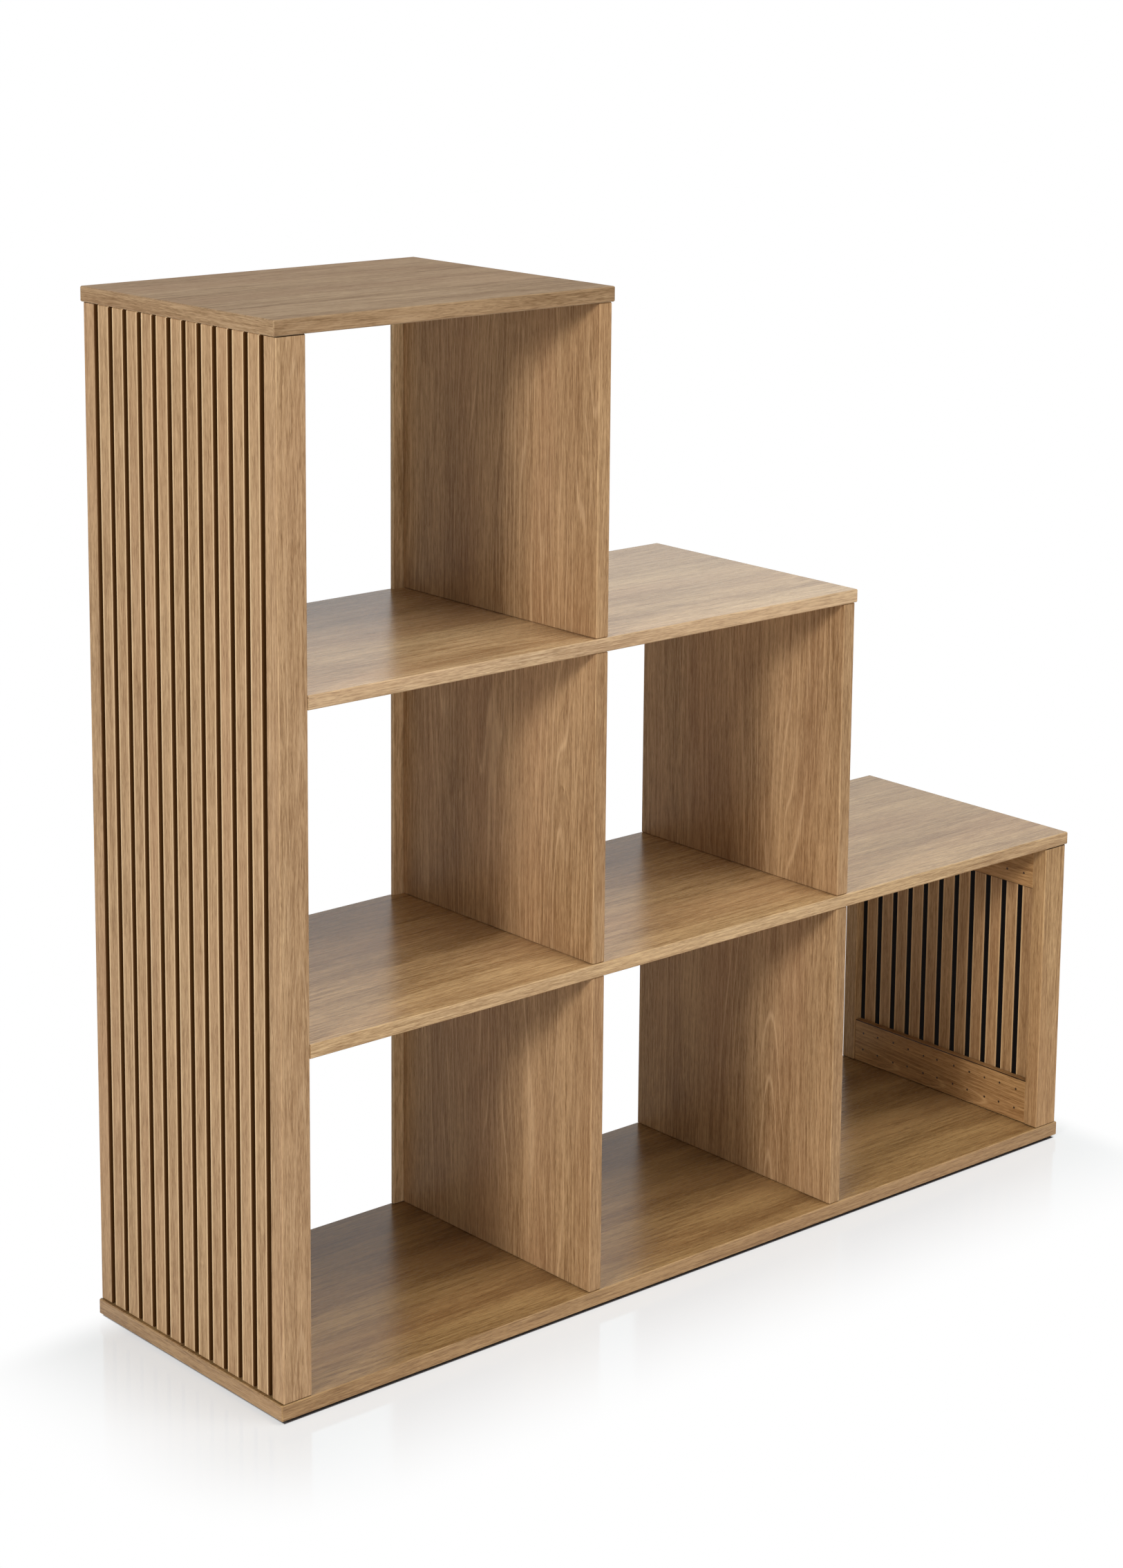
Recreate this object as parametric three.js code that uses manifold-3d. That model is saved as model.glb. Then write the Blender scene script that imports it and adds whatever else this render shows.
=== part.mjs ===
import * as THREE from 'three';
import { mergeVertices } from 'three/addons/utils/BufferGeometryUtils.js';
import Module from 'manifold-3d';

const wasm = await Module();
wasm.setup();

// Staircase bookshelf, in millimetres. X runs along the length from the tall left end to the
// low right end, the open front faces -Y, and Z is up from the floor.

// Clear sizes of the six cells: three columns and three rows
const tallBayWidth = 352;
const middleBayWidth = 334;
const lowBayWidth = 326;
const bottomRowHeight = 336;
const middleRowHeight = 320;
const topRowHeight = 332;

// Boards and divider panels
const boardDepth = 312;
const topThickness = 15;
const shelfThickness = 14;
const baseThickness = 16;
const dividerThickness = 16;
const boardOverhang = 3;      // how far a board's end stands past the face below it
const frontInset = 1;         // posts, slats and dividers stand back from the boards' long edges
const boardEase = 1;          // chamfer on every edge of a board
const jointGap = 0.2;         // hairline between pieces that meet

// Slatted end frames
const postWidth = 33;
const slatGap = 5.5;
const slatCount = 11;
const railThickness = 10;
const railRecess = 1;         // rails stand back from the posts' inner faces
const railHeight = 52;
const frameEase = 0.8;
const slatEndGap = 0.6;       // shadow line above and below each slat
const cutOverrun = 2;         // how far a cut runs past the faces that it opens

// Rear stile, let in flush behind the first divider
const stileLap = 13;          // how far it shows past the divider's left face
const stileThickness = 5;

// Joints: round dowels, round post tenons and flat rail tongues
const dowelDiameter = 8;
const dowelEase = 1;
const dowelGrip = 16;         // depth in the end grain of a panel
const boardGrip = 9;          // depth in the flat of a board that the dowel doesn't pass through
const holeClearance = 0.3;
const dowelSetback = 60;      // from the board's front and rear edges
const tenonDiameter = 8;
const tenonLength = 9;
const tongueLength = 8;
const tongueThickness = 4;
const tongueShoulder = 6;     // rail left above and below its tongue

// Glides under the base board
const glideDiameter = 26;
const glideHeight = 3;
const glideEase = 1;
const glideInset = 32;        // from the base board's edges to a glide's centre

// Counts of sides for the round forms
const dowelSides = 14;
const glideSides = 32;

// Places along the length
const slatThickness = postWidth - railThickness - railRecess;
const overallLength = 2 * (boardOverhang + postWidth) + tallBayWidth + middleBayWidth
  + lowBayWidth + 2 * dividerThickness;
const leftEnd = -overallLength / 2;
const leftPostOuter = leftEnd + boardOverhang;
const leftPostInner = leftPostOuter + postWidth;
const leftSlatInner = leftPostOuter + slatThickness;
const dividerALeft = leftPostInner + tallBayWidth;
const dividerARight = dividerALeft + dividerThickness;
const dividerBLeft = dividerARight + middleBayWidth;
const dividerBRight = dividerBLeft + dividerThickness;
const rightPostInner = dividerBRight + lowBayWidth;
const rightPostOuter = rightPostInner + postWidth;
const rightEnd = rightPostOuter + boardOverhang;

// Places across the depth
const frontEdge = -boardDepth / 2;
const rearEdge = boardDepth / 2;
const frameFront = frontEdge + frontInset;
const frameRear = rearEdge - frontInset;
const barCount = slatCount + 2;
const slatWidth = (frameRear - frameFront - (barCount - 1) * slatGap) / barCount;
const slatPitch = slatWidth + slatGap;
const dowelRows = [frontEdge + dowelSetback, rearEdge - dowelSetback];

// Heights
const baseBottom = glideHeight;
const baseTop = baseBottom + baseThickness;
const lowerShelfBottom = baseTop + bottomRowHeight;
const lowerShelfTop = lowerShelfBottom + shelfThickness;
const upperShelfBottom = lowerShelfTop + middleRowHeight;
const upperShelfTop = upperShelfBottom + shelfThickness;
const topBottom = upperShelfTop + topRowHeight;
const topTop = topBottom + topThickness;

// Finishes
const boardOak = new THREE.MeshStandardMaterial({ color: 0xb59470, roughness: 0.42, metalness: 0 });
const panelOak = new THREE.MeshStandardMaterial({ color: 0xa98660, roughness: 0.45, metalness: 0 });
const slatOak = new THREE.MeshStandardMaterial({ color: 0xb89673, roughness: 0.5, metalness: 0 });
const railOak = new THREE.MeshStandardMaterial({ color: 0xb08a62, roughness: 0.5, metalness: 0 });
const beech = new THREE.MeshStandardMaterial({ color: 0xd9bd8f, roughness: 0.7, metalness: 0 });
const glidePlastic = new THREE.MeshStandardMaterial({ color: 0x2b2622, roughness: 0.6, metalness: 0 });

// A block with every edge chamfered, centred on its own middle
function easedBlock(width, depth, height, ease) {
  const halfWidth = width / 2 - ease;
  const halfDepth = depth / 2 - ease;
  const leg = ease * (Math.SQRT2 - 1);      // of the outline's own small corner cuts
  const outline = new THREE.Shape([
    new THREE.Vector2(halfWidth - leg, -halfDepth),
    new THREE.Vector2(halfWidth, leg - halfDepth),
    new THREE.Vector2(halfWidth, halfDepth - leg),
    new THREE.Vector2(halfWidth - leg, halfDepth),
    new THREE.Vector2(leg - halfWidth, halfDepth),
    new THREE.Vector2(-halfWidth, halfDepth - leg),
    new THREE.Vector2(-halfWidth, leg - halfDepth),
    new THREE.Vector2(leg - halfWidth, -halfDepth),
  ]);
  const block = new THREE.ExtrudeGeometry(outline, {
    depth: height - 2 * ease,
    bevelEnabled: true,
    bevelThickness: ease,
    bevelSize: ease,
    bevelSegments: 1,
  });
  return block.translate(0, 0, ease - height / 2);
}

// A round peg along Z with chamfered ends, centred on its own middle
function easedPeg(diameter, length, ease, sides) {
  const radius = diameter / 2;
  const profile = [
    new THREE.Vector2(0, 0),
    new THREE.Vector2(radius - ease, 0),
    new THREE.Vector2(radius, ease),
    new THREE.Vector2(radius, length - ease),
    new THREE.Vector2(radius - ease, length),
    new THREE.Vector2(0, length),
  ];
  const peg = new THREE.LatheGeometry(profile, sides);
  return peg.rotateX(Math.PI / 2).translate(0, 0, -length / 2);
}

// A closed mesh as a solid that can be cut and joined
function solidFrom(geometry) {
  const bare = geometry.clone();
  bare.deleteAttribute('normal');
  bare.deleteAttribute('uv');
  const merged = mergeVertices(bare);
  const mesh = new wasm.Mesh({
    numProp: 3,
    vertProperties: new Float32Array(merged.attributes.position.array),
    triVerts: new Uint32Array(merged.index.array),
  });
  return new wasm.Manifold(mesh);
}

function geometryFrom(solid) {
  const mesh = solid.getMesh();
  const geometry = new THREE.BufferGeometry();
  geometry.setAttribute('position', new THREE.BufferAttribute(mesh.vertProperties, 3));
  geometry.setIndex(new THREE.BufferAttribute(mesh.triVerts, 1));
  geometry.computeVertexNormals();
  return geometry;
}

// Adds the extras to a geometry, then takes the cuts out of it
function worked(geometry, extras, cuts) {
  if (extras.length + cuts.length === 0) {
    return geometry;
  }
  let solid = solidFrom(geometry);
  for (const extra of extras) {
    solid = solid.add(solidFrom(extra));
  }
  for (const cut of cuts) {
    solid = solid.subtract(solidFrom(cut));
  }
  return geometryFrom(solid);
}

// A named piece that fills a box from its low corner to its high corner. Extras and cuts are
// geometries in the whole shelf's frame.
function piece(name, low, high, ease, material, extras = [], cuts = []) {
  const middle = new THREE.Vector3().addVectors(low, high).divideScalar(2);
  const size = new THREE.Vector3().subVectors(high, low);
  const here = (shape) => shape.clone().translate(-middle.x, -middle.y, -middle.z);
  const body = easedBlock(size.x, size.y, size.z, ease);
  const mesh = new THREE.Mesh(worked(body, extras.map(here), cuts.map(here)), material);
  mesh.name = name;
  mesh.position.copy(middle);
  return mesh;
}

function corner(x, y, z) {
  return new THREE.Vector3(x, y, z);
}

// A plain block from its low corner to its high corner, for tongues and cuts
function plainBlock(low, high) {
  const middle = new THREE.Vector3().addVectors(low, high).divideScalar(2);
  const size = new THREE.Vector3().subVectors(high, low);
  return new THREE.BoxGeometry(size.x, size.y, size.z).translate(middle.x, middle.y, middle.z);
}

// Every dowel of the shelf: where it stands and the heights that it reaches
function dowelPlan() {
  const middleA = (dividerALeft + dividerARight) / 2;
  const middleB = (dividerBLeft + dividerBRight) / 2;
  const baseFoot = baseTop - boardGrip;
  const joints = [
    { name: 'dowel_base_divider_a', x: middleA, low: baseFoot, high: baseTop + dowelGrip },
    { name: 'dowel_base_divider_b', x: middleB, low: baseFoot, high: baseTop + dowelGrip },
    { name: 'dowel_lower_shelf_a', x: middleA, low: lowerShelfBottom - dowelGrip,
      high: lowerShelfTop + dowelGrip },
    { name: 'dowel_lower_shelf_b', x: middleB, low: lowerShelfBottom - dowelGrip,
      high: lowerShelfTop + dowelGrip },
    { name: 'dowel_upper_shelf_a', x: middleA, low: upperShelfBottom - dowelGrip,
      high: upperShelfTop + dowelGrip },
    { name: 'dowel_upper_shelf_b', x: middleB, low: upperShelfBottom - dowelGrip,
      high: upperShelfBottom + boardGrip },
    { name: 'dowel_top_divider_a', x: middleA, low: topBottom - dowelGrip,
      high: topBottom + boardGrip },
  ];
  const rowNames = ['front', 'rear'];
  return joints.flatMap((joint) => dowelRows.map((y, row) => (
    { ...joint, name: `${joint.name}_${rowNames[row]}`, y })));
}

const dowels = dowelPlan();

function dowelShape(dowel, clearance) {
  const length = dowel.high - dowel.low + 2 * clearance;
  const peg = easedPeg(dowelDiameter + 2 * clearance, length, dowelEase, dowelSides);
  return peg.translate(dowel.x, dowel.y, (dowel.low + dowel.high) / 2);
}

// The holes of the dowels that reach into a slab between two heights, at one place along X
function dowelHoles(lowZ, highZ, fromX, toX) {
  const reaching = dowels.filter((dowel) => dowel.low < highZ && dowel.high > lowZ
    && dowel.x > fromX && dowel.x < toX);
  return reaching.map((dowel) => dowelShape(dowel, holeClearance));
}

function dowelPieces() {
  return dowels.map((dowel) => {
    const middleZ = (dowel.low + dowel.high) / 2;
    const shape = dowelShape(dowel, 0).translate(-dowel.x, -dowel.y, -middleZ);
    const mesh = new THREE.Mesh(shape, beech);
    mesh.name = dowel.name;
    mesh.position.set(dowel.x, dowel.y, middleZ);
    return mesh;
  });
}

// The two posts of a frame, from the base up to the board above
function postPlan(outer, inner, lowZ, highZ) {
  const lowX = Math.min(outer, inner);
  const highX = Math.max(outer, inner);
  return [
    { lowX, highX, lowY: frameFront, highY: frameFront + slatWidth, lowZ, highZ },
    { lowX, highX, lowY: frameRear - slatWidth, highY: frameRear, lowZ, highZ },
  ];
}

const leftPosts = postPlan(leftPostOuter, leftPostInner, baseTop, topBottom);
const rightPosts = postPlan(rightPostOuter, rightPostInner, baseTop, lowerShelfBottom);

// A post's round tenons, or with a clearance the holes that take them
function tenons(post, clearance) {
  const x = (post.lowX + post.highX) / 2;
  const y = (post.lowY + post.highY) / 2;
  const low = post.lowZ - tenonLength - clearance;
  const high = post.highZ + tenonLength + clearance;
  const diameter = tenonDiameter + 2 * clearance;
  const length = high - low;
  return easedPeg(diameter, length, dowelEase, dowelSides).translate(x, y, (low + high) / 2);
}

// Bottom edge of each inner rail of a frame: one on the base and one under each board above
function railPlan(boardBottoms) {
  return [baseTop, ...boardBottoms.map((bottom) => bottom - railHeight)];
}

const leftRailBottoms = railPlan([lowerShelfBottom, upperShelfBottom, topBottom]);
const rightRailBottoms = railPlan([lowerShelfBottom]);

// A rail's tongue from post to post, or with a clearance the mortises that take it
function tongue(lowX, highX, bottom, clearance) {
  const middleX = (lowX + highX) / 2;
  const halfThickness = tongueThickness / 2 + clearance;
  const inPost = slatWidth - tongueLength - clearance;
  const shoulder = tongueShoulder - clearance;
  return plainBlock(
    corner(middleX - halfThickness, frameFront + inPost, bottom + shoulder),
    corner(middleX + halfThickness, frameRear - inPost, bottom + railHeight - shoulder));
}

// One slatted end frame: posts, slats flush with their outer faces, and rails inside the slats
function endFrame(side, outer, inner, topZ, posts, railBottoms, railNames) {
  const frame = new THREE.Group();
  const inward = Math.sign(inner - outer);
  const slatInner = outer + inward * slatThickness;
  const railOuter = slatInner + inward * jointGap;
  const railInner = inner - inward * railRecess;
  const railLowX = Math.min(railOuter, railInner);
  const railHighX = Math.max(railOuter, railInner);
  const mortises = railBottoms.map((bottom) => tongue(railLowX, railHighX, bottom, holeClearance));
  const postNames = [`${side}_front_post`, `${side}_rear_post`];
  posts.forEach((post, index) => {
    frame.add(piece(postNames[index],
      corner(post.lowX, post.lowY, post.lowZ + jointGap),
      corner(post.highX, post.highY, post.highZ - jointGap),
      frameEase, slatOak, [tenons(post, 0)], mortises));
  });
  for (let index = 0; index < slatCount; index += 1) {
    const lowY = frameFront + (index + 1) * slatPitch;
    const number = String(index + 1).padStart(2, '0');
    frame.add(piece(`${side}_slat_${number}`,
      corner(Math.min(outer, slatInner), lowY, baseTop + slatEndGap),
      corner(Math.max(outer, slatInner), lowY + slatWidth, topZ - slatEndGap),
      frameEase, slatOak));
  }
  railBottoms.forEach((bottom, index) => {
    frame.add(piece(`${side}_${railNames[index]}`,
      corner(railLowX, frameFront + slatWidth + jointGap, bottom + jointGap),
      corner(railHighX, frameRear - slatWidth - jointGap, bottom + railHeight - jointGap),
      frameEase, railOak, [tongue(railLowX, railHighX, bottom, 0)]));
  });
  return frame;
}

// Cut out of the two shelves, which reach over the left frame's rails and stop at its slats:
// the corners that the posts pass, and the rear edge that the rear stile passes
function shelfNotches() {
  const postEnd = leftPostInner + jointGap;
  const postDepth = slatWidth + jointGap;
  return [
    plainBlock(
      corner(leftPostOuter, frontEdge - cutOverrun, baseTop),
      corner(postEnd, frameFront + postDepth, topBottom)),
    plainBlock(
      corner(leftPostOuter, frameRear - postDepth, baseTop),
      corner(postEnd, rearEdge + cutOverrun, topBottom)),
    plainBlock(
      corner(dividerALeft - stileLap - jointGap, frameRear - stileThickness - jointGap, baseTop),
      corner(dividerARight + jointGap, rearEdge + cutOverrun, topBottom)),
  ];
}

function rearStile() {
  return piece('rear_stile',
    corner(dividerALeft - stileLap, frameRear - stileThickness, baseTop + jointGap),
    corner(dividerARight, frameRear, topBottom - jointGap),
    frameEase, panelOak);
}

// The four long boards, each over what it rests on
function boards() {
  const group = new THREE.Group();
  const leftTenons = leftPosts.map((post) => tenons(post, holeClearance));
  const rightTenons = rightPosts.map((post) => tenons(post, holeClearance));
  group.add(piece('base_board',
    corner(leftEnd, frontEdge, baseBottom), corner(rightEnd, rearEdge, baseTop),
    boardEase, boardOak, [],
    [...leftTenons, ...rightTenons, ...dowelHoles(baseBottom, baseTop, leftEnd, rightEnd)]));
  group.add(piece('lower_shelf',
    corner(leftSlatInner + jointGap, frontEdge, lowerShelfBottom),
    corner(rightEnd, rearEdge, lowerShelfTop),
    boardEase, boardOak, [],
    [...shelfNotches(), ...rightTenons,
      ...dowelHoles(lowerShelfBottom, lowerShelfTop, leftEnd, rightEnd)]));
  group.add(piece('upper_shelf',
    corner(leftSlatInner + jointGap, frontEdge, upperShelfBottom),
    corner(dividerBRight + boardOverhang, rearEdge, upperShelfTop),
    boardEase, boardOak, [],
    [...shelfNotches(), ...dowelHoles(upperShelfBottom, upperShelfTop, leftEnd, rightEnd)]));
  group.add(piece('top_board',
    corner(leftEnd, frontEdge, topBottom),
    corner(dividerARight + boardOverhang, rearEdge, topTop),
    boardEase, boardOak, [],
    [...leftTenons, ...dowelHoles(topBottom, topTop, leftEnd, rightEnd)]));
  return group;
}

// One divider panel between two boards
function dividerPanel(name, leftX, rearY, lowZ, highZ) {
  return piece(name,
    corner(leftX, frameFront, lowZ + jointGap),
    corner(leftX + dividerThickness, rearY, highZ - jointGap),
    boardEase, panelOak, [],
    dowelHoles(lowZ, highZ, leftX, leftX + dividerThickness));
}

function dividers() {
  const group = new THREE.Group();
  const rearOfA = frameRear - stileThickness - jointGap;
  group.add(dividerPanel('divider_a_lower', dividerALeft, rearOfA, baseTop, lowerShelfBottom));
  group.add(dividerPanel('divider_a_middle', dividerALeft, rearOfA, lowerShelfTop, upperShelfBottom));
  group.add(dividerPanel('divider_a_upper', dividerALeft, rearOfA, upperShelfTop, topBottom));
  group.add(dividerPanel('divider_b_lower', dividerBLeft, frameRear, baseTop, lowerShelfBottom));
  group.add(dividerPanel('divider_b_middle', dividerBLeft, frameRear, lowerShelfTop, upperShelfBottom));
  return group;
}

// Glides near the four corners of the base board
function glides() {
  const group = new THREE.Group();
  const places = [
    ['glide_front_left', leftEnd + glideInset, frontEdge + glideInset],
    ['glide_rear_left', leftEnd + glideInset, rearEdge - glideInset],
    ['glide_front_right', rightEnd - glideInset, frontEdge + glideInset],
    ['glide_rear_right', rightEnd - glideInset, rearEdge - glideInset],
  ];
  const height = glideHeight - jointGap;
  for (const [name, x, y] of places) {
    const glide = new THREE.Mesh(easedPeg(glideDiameter, height, glideEase, glideSides), glidePlastic);
    glide.name = name;
    glide.position.set(x, y, height / 2);
    group.add(glide);
  }
  return group;
}

const shelf = new THREE.Group();
shelf.add(boards());
shelf.add(dividers());
shelf.add(rearStile());
shelf.add(endFrame('left', leftPostOuter, leftPostInner, topBottom, leftPosts, leftRailBottoms,
  ['bottom_rail', 'lower_shelf_rail', 'upper_shelf_rail', 'top_rail']));
shelf.add(endFrame('right', rightPostOuter, rightPostInner, lowerShelfBottom, rightPosts,
  rightRailBottoms, ['bottom_rail', 'top_rail']));
shelf.add(glides());
for (const dowel of dowelPieces()) {
  shelf.add(dowel);
}

export default shelf;
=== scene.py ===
import math
import random

import bmesh
import bpy
from mathutils import Matrix, Vector


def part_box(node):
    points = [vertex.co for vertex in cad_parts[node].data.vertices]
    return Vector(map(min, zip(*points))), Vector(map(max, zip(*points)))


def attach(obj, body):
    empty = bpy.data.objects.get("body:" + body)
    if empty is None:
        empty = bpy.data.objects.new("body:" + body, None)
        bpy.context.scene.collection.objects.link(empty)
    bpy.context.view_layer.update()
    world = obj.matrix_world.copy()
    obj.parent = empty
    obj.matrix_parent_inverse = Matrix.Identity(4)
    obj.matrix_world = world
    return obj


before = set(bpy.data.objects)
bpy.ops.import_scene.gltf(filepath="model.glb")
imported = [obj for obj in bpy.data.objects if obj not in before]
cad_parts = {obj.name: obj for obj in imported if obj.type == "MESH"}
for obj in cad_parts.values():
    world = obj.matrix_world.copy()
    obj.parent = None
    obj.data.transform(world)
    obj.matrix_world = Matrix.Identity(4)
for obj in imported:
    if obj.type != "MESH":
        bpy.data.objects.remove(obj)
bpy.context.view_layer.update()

# Staircase bookshelf in satin oak. Metres, X along the length, -Y to the front, Z up.

scene = bpy.context.scene
scene.view_settings.view_transform = "Standard"

cameraLook = {
    "place": (-2.2342, -2.4557, 1.4312),  # metres
    "yaw": 0.7198,  # radians to the right of +Y
    "pitch": 0.1877,  # radians below the horizon
    "roll": -0.0088,
    "focalPixels": 4682.5,
    "centrePixels": (812.5, 720.0),  # where the lens axis meets the picture
    "framePixels": (1625, 2268),
    "sensor": 36.0,  # millimetres along the long side
    "clip": (0.05, 60.0),  # metres
}


def makeCamera(look):
    yaw, pitch, roll = look["yaw"], look["pitch"], look["roll"]
    ahead = Vector((math.sin(yaw) * math.cos(pitch), math.cos(yaw) * math.cos(pitch), -math.sin(pitch)))
    level = Vector((math.cos(yaw), -math.sin(yaw), 0.0))
    down = ahead.cross(level)
    right = math.cos(roll) * level + math.sin(roll) * down
    down = math.cos(roll) * down - math.sin(roll) * level
    turn = Matrix((right, -down, -ahead)).transposed()
    data = bpy.data.cameras.new("photoCamera")
    wide, tall = look["framePixels"]
    data.sensor_width = look["sensor"]
    data.lens = look["focalPixels"] / tall * look["sensor"]
    data.shift_x = (wide / 2 - look["centrePixels"][0]) / tall
    data.shift_y = (look["centrePixels"][1] - tall / 2) / tall
    data.clip_start, data.clip_end = look["clip"]
    camera = bpy.data.objects.new("photoCamera", data)
    camera.matrix_world = Matrix.Translation(look["place"]) @ turn.to_4x4()
    scene.collection.objects.link(camera)
    scene.camera = camera


def fromSrgb(red, green, blue):  # 0 to 255 values to Blender's linear colour
    def linear(value):
        share = value / 255
        return share / 12.92 if share <= 0.04045 else ((share + 0.055) / 1.055) ** 2.4
    return (linear(red), linear(green), linear(blue), 1.0)


class Wire:  # a node socket that can stand in a sum
    def __init__(self, graph, socket):
        self.graph = graph
        self.socket = socket

    def worked(self, operation, *values):
        sockets = dict(enumerate(values))
        return self.graph.node("ShaderNodeMath", {"operation": operation}, sockets)["Value"]

    def __add__(self, other):
        return self.worked("ADD", self, other)

    def __radd__(self, other):
        return self.worked("ADD", other, self)

    def __sub__(self, other):
        return self.worked("SUBTRACT", self, other)

    def __rsub__(self, other):
        return self.worked("SUBTRACT", other, self)

    def __mul__(self, other):
        return self.worked("MULTIPLY", self, other)

    def __rmul__(self, other):
        return self.worked("MULTIPLY", other, self)

    def __pow__(self, other):
        return self.worked("POWER", self, other)

    def __rpow__(self, other):
        return self.worked("POWER", other, self)

    def fraction(self):
        return self.worked("FRACT", self)

    def absolute(self):
        return self.worked("ABSOLUTE", self)

    def larger(self, other):
        return self.worked("MAXIMUM", self, other)

    def smaller(self, other):
        return self.worked("MINIMUM", self, other)

    def ramp(self, low, high):  # 0 below low, 1 above high, smooth between
        return self.graph.node(
            "ShaderNodeMapRange",
            {"interpolation_type": "SMOOTHSTEP"},
            {"Value": self, "From Min": low, "From Max": high},
        )["Result"]


class Graph:  # the nodes of one material or of the world
    def __init__(self, owner):
        owner.use_nodes = True
        self.tree = owner.node_tree
        self.tree.nodes.clear()

    def node(self, kind, settings=None, values=None):
        made = self.tree.nodes.new(kind)
        for name, value in (settings or {}).items():
            setattr(made, name, value)
        for name, value in (values or {}).items():
            if isinstance(name, int):
                socket = made.inputs[name]
            else:
                socket = next(s for s in made.inputs if s.name == name and s.enabled)
            if isinstance(value, Wire):
                self.tree.links.new(value.socket, socket)
            else:
                socket.default_value = value
        return {s.name: Wire(self, s) for s in made.outputs if s.enabled}

    def vector(self, operation, first, second):
        return self.node("ShaderNodeVectorMath", {"operation": operation}, {0: first, 1: second})["Vector"]

    def mixed(self, factor, first, second, blend="MIX"):
        return self.node(
            "ShaderNodeMix",
            {"data_type": "RGBA", "blend_type": blend},
            {"Factor": factor, "A": first, "B": second},
        )["Result"]

    def axes(self, vector):  # its three numbers, by axis
        return self.node("ShaderNodeSeparateXYZ", None, {"Vector": vector})

    def place(self):  # a point's place in metres
        return self.node("ShaderNodeTexCoord")["Object"]

    def facing(self):  # which way the surface faces, by axis
        return self.axes(self.node("ShaderNodeNewGeometry")["True Normal"])

    def noise(self, place, scales, detail, roughness=0.5):
        stretched = self.vector("MULTIPLY", place, scales)
        return self.node(
            "ShaderNodeTexNoise",
            None,
            {"Vector": stretched, "Scale": 1.0, "Detail": detail, "Roughness": roughness},
        )

    def cells(self, place, scales):
        stretched = self.vector("MULTIPLY", place, scales)
        return self.node("ShaderNodeTexVoronoi", {"feature": "F1"}, {"Vector": stretched, "Scale": 1.0})


# Grain features: how many to the metre across and along the fibres, the detail of their noise and how
# much each one shows. Marks fade in between two values of the noise, and cover the wood by a share.
oakGrain = {
    "fibre": {"across": 560.0, "along": 26.0, "detail": 3.0, "share": 1.0},
    "hair": {"across": 1300.0, "along": 110.0, "detail": 2.0, "share": 0.85},
    "line": {"across": 300.0, "along": 4.5, "detail": 1.0, "share": 0.42},
    "streak": {"across": 120.0, "along": 6.0, "detail": 1.5, "share": 0.22},
    "band": {"across": 26.0, "along": 2.6, "detail": 1.5, "share": 0.74},
    "warmth": {
        "across": 15.0, "along": 2.4, "detail": 1.0, "share": 1.0, "marks": (0.35, 0.75), "cover": 0.28,
    },
    "dash": {"across": 760.0, "along": 36.0, "marks": (0.58, 0.72), "cover": 0.40},
    "fleck": {"across": 480.0, "along": 18.0, "marks": (0.60, 0.74), "cover": 0.38},
    "pore": {"across": 820.0, "along": 85.0, "marks": (0.14, 0.34), "cover": 0.48},
    "knot": {"across": 6.5, "along": 4.2, "marks": (0.010, 0.026), "cover": 0.85},
    "patch": {"across": 30.0, "along": 4.0, "marks": (0.40, 0.60)},  # where the flame shows
    "sway": {"across": 22.0, "along": 2.0},  # of the growth rings
    "stray": {"across": 5.0, "along": 2.2},  # of the fibres
}

oakDetail = {
    "shift": 4.0,  # metres that the pattern moves, at most, from piece to piece
    "stray": 0.005,  # metres that the fibres stray sideways
    "strayDetail": 2.0,
    "markDetail": 1.0,
    "roughness": 0.6,  # of the noise behind the tones
    "middle": 0.51,  # the tone between deep and pale before the grain is added
    "latePores": 0.35,  # how much pores show in the late wood against the early wood
    "knotCells": (0.80, 0.81),  # one cell in five holds a knot
}

# The flame figure: growth rings that bow round the heart of the board, a pale line along each
ringShape = {
    "heart": 0.35,  # how far the heart is off the middle, at most, in widths of the board
    "bow": 0.0002,  # square metres
    "lean": 0.035,  # metres sideways to a metre along
    "fade": 2.2,  # how fast the early wood fades across a ring
    "mean": 0.3,  # of the early wood over a ring, so that the figure keeps the board's tone
    "lineWidth": 0.11,  # of the pale line, in shares of a ring
}

# Colours as 0 to 255 values, lit plainly
oakPaint = {
    "pale": (202, 170, 132),
    "deep": (130, 98, 65),
    "rosy": (176, 135, 103),
    "fleck": (208, 178, 142),
    "flame": (216, 185, 149),
    "dash": (118, 86, 56),
    "pore": (104, 75, 46),
    "knot": (70, 46, 26),
    # painted highlight on eased edges and beside slat sides
    "arrisHighlight": (214, 184, 146),
    # painted shade where eased ends sit in a joint
    "jointShade": (44, 27, 14),
    # painted shade in the gaps between slats, near black in the right frame
    "gapShade": (80, 50, 21),
    "deepGapShade": (18, 9, 4),
}
rightTint = (0.99, 0.955, 0.90)  # the right frame is a little warmer than the left

# How each kind of piece is cut and finished: the way its grain runs and its main face, its growth rings
# in rings per metre, how far they sway, how dark they are and how pale the lines along them, how much
# broad banding it has and how strong a painted highlight its edges get, its tone in red, green and blue
# against the paint above, the roughness and index of its finish, and the tone of a board's edges and ends
shelfCut = {
    "grain": "X", "face": "Z", "rings": 75.0, "sway": 6.0, "figure": 0.08, "flame": 0.16, "band": 1.25,
    "highlightStrength": 0.14, "tone": (1.095, 1.095, 1.03), "rough": 0.25, "index": 1.34,
    "edgeTone": (0.93, 0.94, 1.0, 1.0), "endTone": (0.91, 0.93, 0.99, 1.0),
}
upperCut = dict(
    shelfCut, tone=(1.155, 1.18, 1.155),
    edgeTone=(0.83, 0.83, 0.89, 1.0), endTone=(0.83, 0.83, 0.89, 1.0),
)
baseCut = dict(
    shelfCut, figure=0.12, band=1.5, tone=(0.90, 0.865, 0.74),
    edgeTone=(1.0, 0.99, 1.11, 1.0), endTone=(0.985, 0.995, 1.16, 1.0),
)
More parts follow.
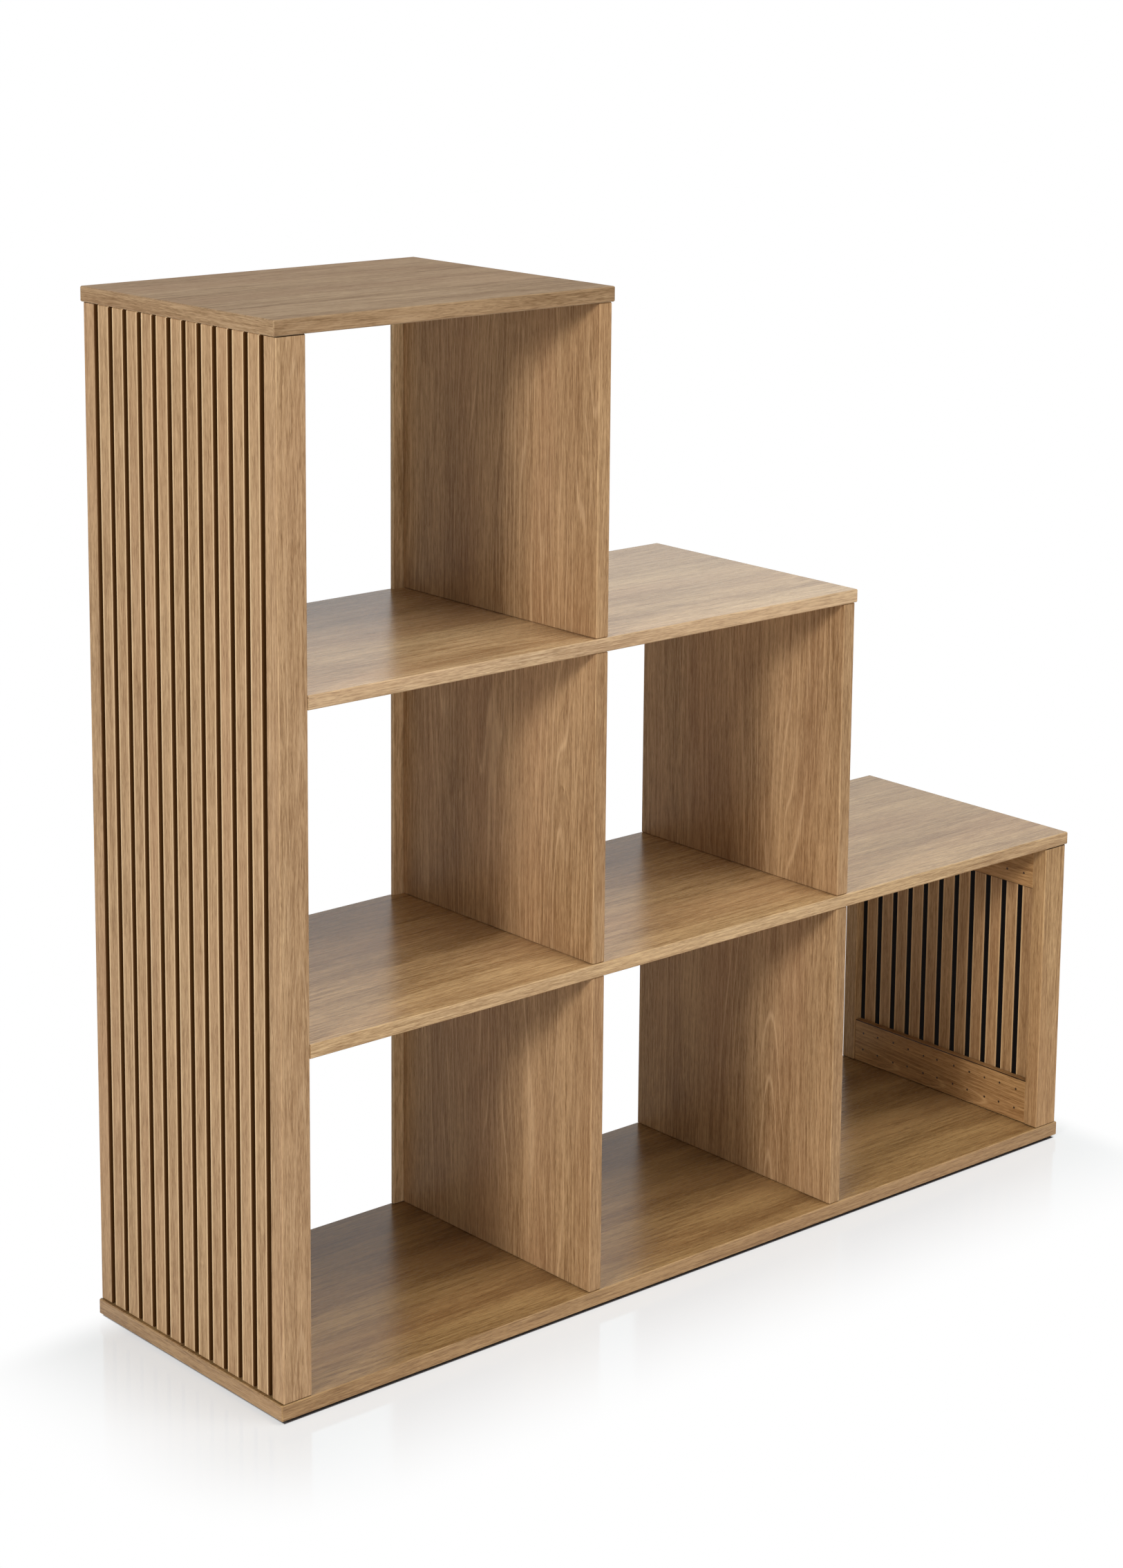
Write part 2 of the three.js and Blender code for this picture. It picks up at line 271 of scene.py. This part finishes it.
topCut = dict(
    shelfCut, figure=0.12, band=1.2, tone=(0.88, 0.895, 0.915), rough=0.62, index=1.25,
    edgeTone=(0.895, 0.835, 0.76, 1.0), endTone=(0.985, 0.935, 0.87, 1.0),
)
panelCut = {
    "grain": "Z", "face": "X", "rings": 105.0, "sway": 6.5, "figure": 0.10, "flame": 0.62, "band": 0.8,
    "highlightStrength": 0.20, "tone": (0.965, 0.935, 0.885), "rough": 0.44, "index": 1.25,
}
slatCut = dict(
    panelCut, rings=210.0, sway=2.5, figure=0.06, flame=0.16, band=0.3, highlightStrength=0.95,
    tone=(0.968, 0.955, 0.928), rough=0.46,
)
postCut = dict(
    panelCut, face="Y", rings=150.0, sway=4.0, figure=0.08, flame=0.35, band=0.35, highlightStrength=0.18,
    tone=(0.968, 0.953, 0.928),
)
rightPostCut = dict(postCut, tone=(1.0, 1.0, 0.975))
# The rear stile is painted lighter, standing in for front light that the lamps don't give it
stileLitCut = dict(postCut, flame=0.15, tone=(1.16, 1.20, 1.21))
railCut = dict(
    panelCut, grain="Y", rings=300.0, sway=7.0, figure=0.12, flame=0.62, band=0.9, highlightStrength=0.40,
    tone=(0.97, 0.94, 0.86),
)

oakFinish = {
    "poreRough": 0.10,
    "fleckSmooth": 0.03,
    "poreDepth": 0.6,  # against the fibres
    "bump": 0.25,
    "bumpHeight": 0.0003,  # metres
}

# Where edges, ends and gaps fade in: lengths of the unit normal along an axis, unless a note says metres
edgeShape = {
    "eased": (0.90, 0.96),  # an eased edge below the first, a flat face above the second
    "inJoint": (0.15, 0.30),  # eased ends that turn up or down
    "dividerJointShade": 0.14,  # how much of the painted joint shade shows at a divider's ends
    "edgeHighlight": (0.0034, 0.0020),  # metres in from a slat's sides: its painted highlight
    "inGap": (0.48, 0.66),
    "besideSlats": 0.0005,  # metres
    "endStrip": (0.80, 0.82),
    "onEdge": (0.75, 0.85),
    "onEnd": (0.60, 0.80),
    "onFace": (0.50, 0.80),
}


def acrossAxis(cut):
    return next(axis for axis in "XYZ" if axis not in (cut["grain"], cut["face"]))


def timberPlace(graph, centre, cut):  # (across the face, through it, along the grain) from the middle
    axes = graph.axes(graph.vector("SUBTRACT", graph.place(), centre))
    order = {"X": axes[acrossAxis(cut)], "Y": axes[cut["face"]], "Z": axes[cut["grain"]]}
    timber = graph.node("ShaderNodeCombineXYZ", None, order)["Vector"]
    if cut["grain"] != "X":
        return timber
    # A strip of veneer runs along each short end, so its grain is turned there
    ends = {"X": axes["Z"], "Y": axes["X"], "Z": axes["Y"]}
    turned = graph.node("ShaderNodeCombineXYZ", None, ends)["Vector"]
    onEnd = graph.facing()["X"].absolute().ramp(*edgeShape["endStrip"])
    return graph.node(
        "ShaderNodeMix", {"data_type": "VECTOR"}, {"Factor": onEnd, "A": timber, "B": turned}
    )["Result"]


def scalesOf(part):
    look = oakGrain[part]
    return (look["across"], look["across"], look["along"])


def tones(graph, place, part):  # lighter and darker stretches, either side of 0
    look = oakGrain[part]
    noise = graph.noise(place, scalesOf(part), look["detail"], oakDetail["roughness"])["Fac"]
    return (noise - 0.5) * look["share"]


def marks(graph, place, part):  # 1 on each mark and 0 beside it
    return graph.noise(place, scalesOf(part), oakDetail["markDetail"])["Fac"].ramp(*oakGrain[part]["marks"])


def strayedPlace(graph, place):  # the fibres stray slowly from side to side
    stray = graph.noise(place, scalesOf("stray"), oakDetail["strayDetail"])["Color"]
    stray = graph.vector("SUBTRACT", stray, (0.5, 0.5, 0.5))
    stray = graph.vector("MULTIPLY", stray, (oakDetail["stray"], oakDetail["stray"], 0.0))
    return graph.vector("ADD", place, stray)


def ringPlace(graph, flat, place, cut, width, draw):  # 0 to 1 across each growth ring
    heart = draw.uniform(-ringShape["heart"], ringShape["heart"]) * width
    lean = draw.choice((-ringShape["lean"], ringShape["lean"]))
    axes = graph.axes(flat)
    bowed = ((axes["X"] - heart) * (axes["X"] - heart) + ringShape["bow"]) ** 0.5
    sway = (graph.noise(place, scalesOf("sway"), oakDetail["markDetail"])["Fac"] - 0.5) * cut["sway"]
    return ((bowed + axes["Z"] * lean) * cut["rings"] + sway).fraction()


def knots(graph, place):
    cells = graph.cells(place, scalesOf("knot"))
    drawn = graph.node("ShaderNodeSeparateColor", None, {"Color": cells["Color"]})["Red"]
    return (1 - cells["Distance"].ramp(*oakGrain["knot"]["marks"])) * drawn.ramp(*oakDetail["knotCells"])


def edgeMasks(graph, name, cut, flat):  # painted highlight on lit edges, painted shade on ends in joints
    if "_slat_" in name:  # shade painted over a slat's eased edges, a highlight painted beside them
        low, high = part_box(name)
        half = (high[1] - low[1]) / 2
        start, full = edgeShape["edgeHighlight"]
        return graph.axes(flat)["X"].absolute().ramp(half - start, half - full), None
    facing = {axis: wire.absolute() for axis, wire in graph.facing().items()}
    steepest = facing["X"].larger(facing["Y"]).larger(facing["Z"])
    eased = 1 - steepest.ramp(*edgeShape["eased"])
    if cut["grain"] == "X":
        return eased, None
    shadedEnds = facing["Z"].ramp(*edgeShape["inJoint"])
    depth = edgeShape["dividerJointShade"] if name.startswith("divider") else 1.0
    return eased * (1 - shadedEnds), eased * shadedEnds * depth


def gapShadeMask(graph, name):  # the faces that line the gaps between slats, painted with shade
    if not name.startswith(("left", "right")) or name.endswith("_rail"):
        return None
    side = name.split("_")[0]
    facing = graph.facing()["Y"]
    if "_slat_" in name:
        return facing.absolute().ramp(*edgeShape["inGap"])
    towards = facing if "front" in name else 0 - facing
    low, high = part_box(side + "_slat_01")
    along = graph.axes(graph.place())["X"]
    blend = edgeShape["besideSlats"]
    if side == "left":
        beside = 1 - along.ramp(high[0] - blend, high[0] + blend)
    else:
        beside = along.ramp(low[0] - blend, low[0] + blend)
    return towards.ramp(*edgeShape["inGap"]) * beside


def paintFor(name, cut):
    tint = rightTint if name.startswith("right") else (1.0, 1.0, 1.0)
    shares = [tone * share for tone, share in zip(cut["tone"], tint)]
    return {
        part: fromSrgb(*(value * share for value, share in zip(colour, shares)))
        for part, colour in oakPaint.items()
    }


def edgeToned(graph, colour, cut):  # veneer round a board's edges, its tone partly painted light
    facing = graph.facing()
    # The eased edges take the darker edge tone as painted shade, and the top's ends a lighter tone as
    # painted light
    onEdge = 1 - facing["Z"].absolute().ramp(*edgeShape["onEdge"])
    onEnd = facing["X"].absolute().ramp(*edgeShape["onEnd"])
    return graph.mixed(onEdge, colour, graph.mixed(onEnd, cut["edgeTone"], cut["endTone"]), "MULTIPLY")


def oakMaterial(name, cut):
    draw = random.Random(name)
    low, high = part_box(name)
    centre = [(a + b) / 2 for a, b in zip(low, high)]
    material = bpy.data.materials.new("oak_" + name)
    graph = Graph(material)
    flat = timberPlace(graph, centre, cut)
    shift = [draw.uniform(-oakDetail["shift"], oakDetail["shift"]) for _ in range(3)]
    place = graph.vector("ADD", flat, shift)
    wavy = strayedPlace(graph, place)

    onFace = graph.facing()[cut["face"]].absolute().ramp(*edgeShape["onFace"])
    across = "XYZ".index(acrossAxis(cut))
    ring = ringPlace(graph, flat, place, cut, high[across] - low[across], draw)
    early = (1 - ring) ** ringShape["fade"]
    figure = (early - ringShape["mean"]) * onFace * cut["figure"]
    flameLine = 1 - (ring - 0.5).absolute().ramp(0.0, ringShape["lineWidth"])

    fibre = tones(graph, wavy, "fibre")
    fine = fibre + tones(graph, wavy, "hair") + tones(graph, wavy, "line")
    broad = tones(graph, wavy, "streak") + tones(graph, wavy, "band") * cut["band"]
    tone = oakDetail["middle"] + fine + broad - figure

    poreCells = graph.cells(wavy, scalesOf("pore"))["Distance"]
    late = oakDetail["latePores"]
    pores = (1 - poreCells.ramp(*oakGrain["pore"]["marks"])) * (late + early * (1 - late))
    flecks = marks(graph, wavy, "fleck")
    warmth = (0.5 + tones(graph, wavy, "warmth")).ramp(*oakGrain["warmth"]["marks"])

    paint = paintFor(name, cut)
    colour = graph.mixed(tone.ramp(0.0, 1.0), paint["deep"], paint["pale"])
    layers = (
        (warmth * oakGrain["warmth"]["cover"], "rosy"),
        (flecks * oakGrain["fleck"]["cover"], "fleck"),
        (flameLine * marks(graph, place, "patch") * onFace * cut["flame"], "flame"),
        (marks(graph, wavy, "dash") * oakGrain["dash"]["cover"], "dash"),
        (pores * oakGrain["pore"]["cover"], "pore"),
        (knots(graph, place) * oakGrain["knot"]["cover"], "knot"),
    )
    for cover, part in layers:
        colour = graph.mixed(cover, colour, paint[part])
    if "edgeTone" in cut:
        colour = edgeToned(graph, colour, cut)
    edgeHighlight, shadedEnds = edgeMasks(graph, name, cut, flat)
    # Painted highlight on the edges that catch the light
    colour = graph.mixed(edgeHighlight * cut["highlightStrength"], colour, paint["arrisHighlight"])
    # Painted shade on eased ends that sit in a joint
    if shadedEnds:
        colour = graph.mixed(shadedEnds, colour, paint["jointShade"])
    # Painted shade in the gaps between slats
    gapShaded = gapShadeMask(graph, name)
    if gapShaded:
        gapShade = paint["deepGapShade"] if name.startswith("right") else paint["gapShade"]
        colour = graph.mixed(gapShaded, colour, gapShade)

    look = oakFinish
    roughness = cut["rough"] + pores * look["poreRough"] - flecks * look["fleckSmooth"]
    height = fibre - pores * look["poreDepth"]
    bumped = graph.node(
        "ShaderNodeBump", None, {"Height": height, "Strength": look["bump"], "Distance": look["bumpHeight"]}
    )["Normal"]
    shader = graph.node(
        "ShaderNodeBsdfPrincipled",
        None,
        {"Base Color": colour, "Roughness": roughness, "Normal": bumped, "IOR": cut["index"]},
    )["BSDF"]
    graph.node("ShaderNodeOutputMaterial", None, {"Surface": shader})
    return material


# Plain finishes: colour as 0 to 255 values, roughness and specks per metre
plainLooks = {
    "beech": {"colour": (214, 186, 142), "rough": 0.6, "specks": 300.0},
    "glidePlastic": {"colour": (44, 38, 34), "rough": 0.5, "specks": 900.0},
    "nailFiller": {"colour": (52, 34, 20), "rough": 0.6, "specks": 900.0},
}
speckLook = {"detail": 3.0, "dark": 0.88, "marks": (0.3, 0.7), "rough": 0.1}


def plainMaterial(name):
    look = plainLooks[name]
    material = bpy.data.materials.new(name)
    graph = Graph(material)
    speck = graph.noise(graph.place(), (look["specks"],) * 3, speckLook["detail"])["Fac"]
    darker = fromSrgb(*(value * speckLook["dark"] for value in look["colour"]))
    tinted = graph.mixed(speck.ramp(*speckLook["marks"]), darker, fromSrgb(*look["colour"]))
    roughness = look["rough"] + speck * speckLook["rough"]
    shader = graph.node("ShaderNodeBsdfPrincipled", None, {"Base Color": tinted, "Roughness": roughness})
    graph.node("ShaderNodeOutputMaterial", None, {"Surface": shader["BSDF"]})
    return material


def cutFor(name):
    if "_slat_" in name:
        return slatCut
    if name.endswith("_post"):
        return rightPostCut if name.startswith("right") else postCut
    if name.endswith("_rail"):
        return railCut
    if name.startswith("divider"):
        return panelCut
    if name == "rear_stile":
        return stileLitCut
    if name == "top_board":
        return topCut
    if name == "base_board":
        return baseCut
    return upperCut if name.startswith("upper") else shelfCut


def dressPieces():
    beech, glide = plainMaterial("beech"), plainMaterial("glidePlastic")
    for name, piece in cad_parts.items():
        if name.startswith("dowel"):
            material = beech
        elif name.startswith("glide"):
            material = glide
        else:
            material = oakMaterial(name, cutFor(name))
        for slot in piece.material_slots:
            slot.material = material


# Brad nails that hold the slats to the rails, two rows on each rail. Metres, and shares of a rail's height.
nailLook = {
    "radius": 0.0014,
    "crown": 0.7,  # the crown's radius against the rim's
    "proud": 0.00025,
    "sides": 10,
    "rowShares": (0.30, 0.74),
    "stray": (0.0015, 0.0012),  # across and up
}


def nailHead(mesh, place, outward):
    rim, crown = [], []
    for step in range(nailLook["sides"]):
        turn = math.tau * step / nailLook["sides"]
        spoke = Vector((0.0, math.cos(turn), math.sin(turn))) * nailLook["radius"]
        rim.append(mesh.verts.new(place + spoke))
        crown.append(mesh.verts.new(place + spoke * nailLook["crown"] + outward * nailLook["proud"]))
    for step in range(nailLook["sides"]):
        after = (step + 1) % nailLook["sides"]
        mesh.faces.new((rim[step], rim[after], crown[after], crown[step]))
    mesh.faces.new(crown)
    mesh.faces.new(list(reversed(rim)))


def nailRows(rail, side, material):
    low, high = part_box(rail)
    outward = Vector((-1.0, 0.0, 0.0)) if side == "right" else Vector((1.0, 0.0, 0.0))
    face = low[0] if side == "right" else high[0]
    mesh = bmesh.new()
    draw = random.Random(rail + "nails")
    strayY, strayZ = nailLook["stray"]
    slats = [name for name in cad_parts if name.startswith(side + "_slat_")]
    for slat in slats:
        slatLow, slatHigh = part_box(slat)
        for share in nailLook["rowShares"]:
            y = (slatLow[1] + slatHigh[1]) / 2 + draw.uniform(-strayY, strayY)
            z = low[2] + (high[2] - low[2]) * share + draw.uniform(-strayZ, strayZ)
            nailHead(mesh, Vector((face, y, z)), outward)
    bmesh.ops.recalc_face_normals(mesh, faces=mesh.faces)
    data = bpy.data.meshes.new(rail + "_nails")
    mesh.to_mesh(data)
    mesh.free()
    data.materials.append(material)
    piece = bpy.data.objects.new(rail + "_nails", data)
    scene.collection.objects.link(piece)
    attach(piece, "root")


def makeNails():
    filler = plainMaterial("nailFiller")
    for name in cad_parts:
        if name.endswith("_rail"):
            nailRows(name, name.split("_")[0], filler)


# Studio: a pale floor that runs off to white, and soft lamps at a plain level. Metres and watts.
studio = {
    "floorHalf": 40.0,
    "floorColour": (0.86, 0.86, 0.86, 1.0),
    "underShade": (0.12, 0.11, 0.11, 1.0),  # painted contact shadow seen in the gap under the base
    "white": (1.0, 1.0, 1.0, 1.0),
    "shadow": 0.38,  # how much of the object's shadow the camera sees on the floor beside the base
    "shine": 0.10,  # how much the floor mirrors beside the base
    "shineColour": (0.80, 0.97, 1.0, 1.0),
    "shineRough": 0.10,
    "reach": 0.20,  # how far from the base the floor is as white as the background
    "rightReach": 0.06,  # and the same at the right end
    "rearReach": 0.07,  # and at the rear, where it starts inside the base's edge
    "rearStart": 0.06,
    "tuck": (0.0045, 0.0020),  # how far the white reaches in under the base's ends and long sides
    "tuckFade": 0.002,
}

lamps = {
    "key": {"place": (-6.362, -2.191, 2.429), "size": 0.9, "power": 206.0},
    "keyHigh": {"place": (-5.929, -2.64, 3.122), "size": 0.9, "power": 62.0},
    "left": {"place": (-5.380, 0.0, 1.644), "size": 2.2, "power": 33.0},
    "frontLow": {"place": (-2.723, -4.717, 1.265), "size": 2.0, "power": 54.5},
    "frontHigh": {"place": (0.712, -2.656, 5.263), "size": 2.2, "power": 130.0},
    "right": {"place": (3.298, -3.298, 3.415), "size": 2.2, "power": 69.0},
    "top": {"place": (0.0, 0.0, 6.0), "size": 2.5, "power": 29.0},
    "rear": {"place": (1.4, 5.3, 1.15), "size": 2.2, "power": 58.0},
}
lampAim = (0.0, 0.0, 0.5)


def makeLamp(name, look):
    data = bpy.data.lights.new(name, "AREA")
    data.shape = "SQUARE"
    data.size = look["size"]
    data.energy = look["power"]
    lamp = bpy.data.objects.new(name, data)
    lamp.location = look["place"]
    lamp.rotation_mode = "QUATERNION"
    lamp.rotation_quaternion = (Vector(lampAim) - Vector(look["place"])).to_track_quat("-Z", "Y")
    lamp.visible_camera = False
    lamp.visible_glossy = False
    scene.collection.objects.link(lamp)


def seenDirectly(graph):  # 1 on camera, glossy and transmission rays
    path = graph.node("ShaderNodeLightPath")
    return (path["Is Camera Ray"] + path["Is Glossy Ray"] + path["Is Transmission Ray"]).smaller(1.0)


def makeWorld():
    world = bpy.data.worlds.new("studioWorld")
    scene.world = world
    graph = Graph(world)
    strength = seenDirectly(graph)
    sky = graph.node("ShaderNodeBackground", None, {"Color": studio["white"], "Strength": strength})
    graph.node("ShaderNodeOutputWorld", None, {"Surface": sky["Background"]})


def floorShares(graph):  # 1 outside the base and 0 under it, and 1 beside the base falling to 0 far out
    axes = graph.axes(graph.place())
    low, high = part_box("base_board")
    pastX = (low[0] - axes["X"]).larger(axes["X"] - high[0])
    pastY = (low[1] - axes["Y"]).larger(axes["Y"] - high[1])
    tuckX, tuckY = studio["tuck"]
    clear = (pastX + tuckX).larger(pastY + tuckY).ramp(0.0, studio["tuckFade"])
    rightward = (axes["X"] - high[0]) * (studio["reach"] / studio["rightReach"])
    rearward = (axes["Y"] - high[1] + studio["rearStart"]) * (studio["reach"] / studio["rearReach"])
    besideX, besideY = pastX.larger(rightward).larger(0.0), pastY.larger(rearward).larger(0.0)
    distance = (besideX * besideX + besideY * besideY) ** 0.5
    return clear, 1 - distance.ramp(0.0, studio["reach"])


def floorMaterial():
    material = bpy.data.materials.new("floorWhite")
    graph = Graph(material)
    clear, near = floorShares(graph)
    # Under the base the floor is painted dark as its contact shadow
    colour = graph.mixed(clear, studio["underShade"], studio["floorColour"])
    matte = graph.node("ShaderNodeBsdfDiffuse", None, {"Color": colour})["BSDF"]
    white = graph.node("ShaderNodeEmission", None, {"Color": studio["white"], "Strength": 1.0})["Emission"]
    gloss = {"Color": studio["shineColour"], "Roughness": studio["shineRough"]}
    mirror = graph.node("ShaderNodeBsdfGlossy", None, gloss)["BSDF"]
    seen = seenDirectly(graph)
    lift = seen * clear * (1 - near * studio["shadow"])
    lifted = graph.node("ShaderNodeMixShader", None, {0: lift, 1: matte, 2: white})["Shader"]
    shine = seen * clear * near * studio["shine"]
    surface = graph.node("ShaderNodeMixShader", None, {0: shine, 1: lifted, 2: mirror})["Shader"]
    graph.node("ShaderNodeOutputMaterial", None, {"Surface": surface})
    return material


def makeFloor():
    half = studio["floorHalf"]
    corners = [(-half, -half, 0.0), (half, -half, 0.0), (half, half, 0.0), (-half, half, 0.0)]
    data = bpy.data.meshes.new("floor")
    data.from_pydata(corners, [], [(0, 1, 2, 3)])
    data.materials.append(floorMaterial())
    floor = bpy.data.objects.new("floor", data)
    scene.collection.objects.link(floor)


makeCamera(cameraLook)
print("camera set")
dressPieces()
print("oak on", len(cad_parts), "pieces")
makeNails()
print("nails set")
makeFloor()
makeWorld()
for lampName, lampLook in lamps.items():
    makeLamp(lampName, lampLook)
print("studio lit")
